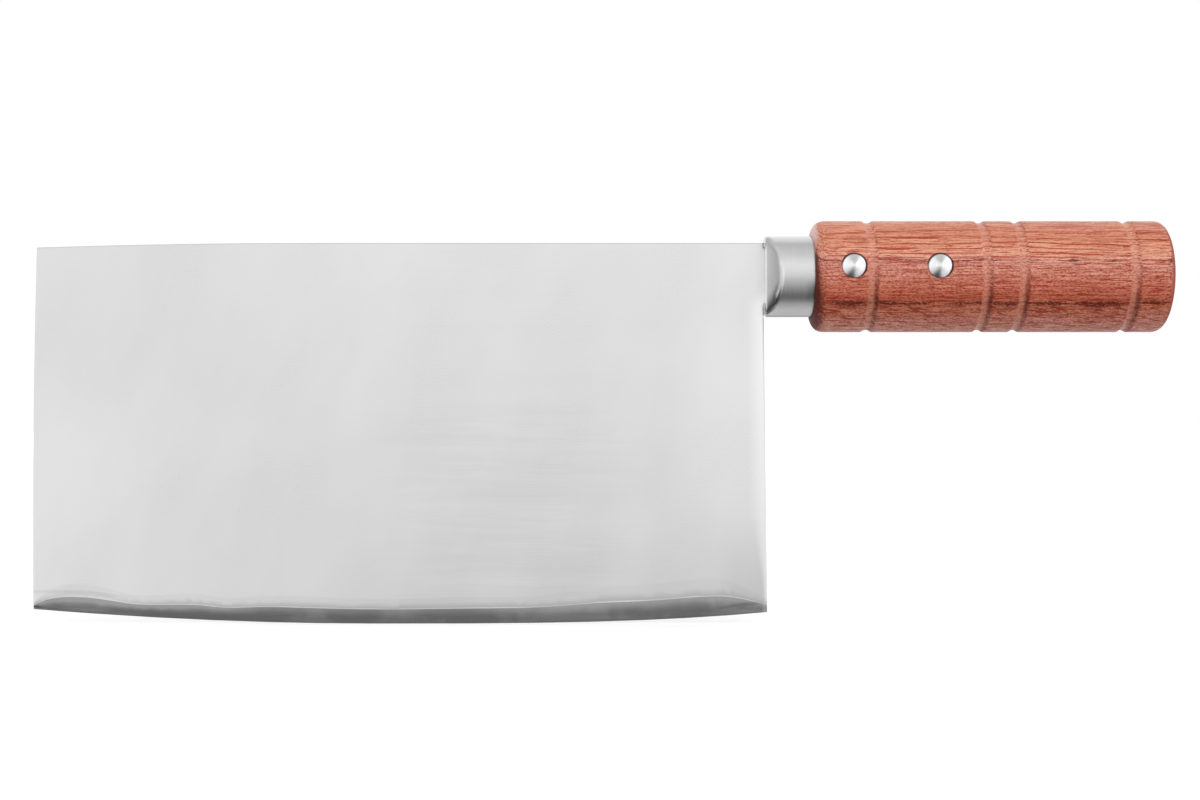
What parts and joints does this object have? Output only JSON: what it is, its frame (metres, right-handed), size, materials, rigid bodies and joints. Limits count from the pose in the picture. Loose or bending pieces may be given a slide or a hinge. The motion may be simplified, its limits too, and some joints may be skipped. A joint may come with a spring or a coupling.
{
  "type": "chinese cleaver",
  "caption": "Chinese cleaver with a tall laminated steel blade, a round steel bolster and a grooved hardwood handle held by rivets.",
  "frame": {"origin": "on the handle's axis, at the middle of the plain grip length before the last groove", "axes": "+X along the handle from the blade to the butt, +Y through the blade's thickness to its right side, +Z from the edge up to the spine"},
  "size_m": [0.3155, 0.0322, 0.1126],
  "materials": {
    "core_steel": "hardened core steel, finely ground and darker at the bevel",
    "cladding_steel": "satin stainless steel",
    "bolster_steel": "brushed stainless steel",
    "rivet_steel": "bright turned steel",
    "handle_wood": "reddish open-pored hardwood with a thin satin lacquer"
  },
  "bodies": {
    "root": {"blade_core": "core_steel", "left_cladding": "cladding_steel", "right_cladding": "cladding_steel", "bolster": "bolster_steel", "handle": "handle_wood", "front_rivet_pin": "rivet_steel", "front_rivet_sleeve": "rivet_steel", "rear_rivet_pin": "rivet_steel", "rear_rivet_sleeve": "rivet_steel"}
  },
  "joints": []
}
